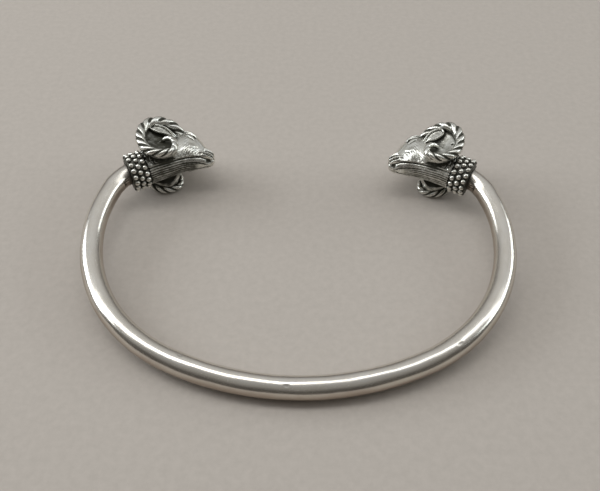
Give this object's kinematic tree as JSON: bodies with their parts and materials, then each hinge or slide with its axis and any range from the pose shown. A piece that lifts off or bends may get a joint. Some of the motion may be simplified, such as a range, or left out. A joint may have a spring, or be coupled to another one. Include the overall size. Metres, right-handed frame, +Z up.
{
  "type": "animal head cuff bracelet",
  "caption": "Open cuff bracelet of round silver bar whose two ends are carved ram heads with curled horns behind beaded collars.",
  "frame": {"origin": "bottom centre of the whole bracelet as it lies on its side: Z = 0 is the ground under the front of the bar and the lower horn of each head", "axes": "+X across the bracelet from the left head to the right head, +Y from the closed front of the bar towards the open side with the heads, +Z up"},
  "size_m": [0.0674, 0.0512, 0.0106],
  "materials": {
    "polished_silver": "hand-polished silver with fine scratches and small nicks",
    "beaded_silver": "bright bead tops over dark tarnish between the beads",
    "oxidised_silver": "carved silver, rubbed bright on the high places and dark brown-black in the hollows"
  },
  "bodies": {
    "root": {"hoop": "polished_silver", "left_collar": "beaded_silver", "right_collar": "beaded_silver", "left_head": "oxidised_silver", "right_head": "oxidised_silver"}
  },
  "joints": []
}
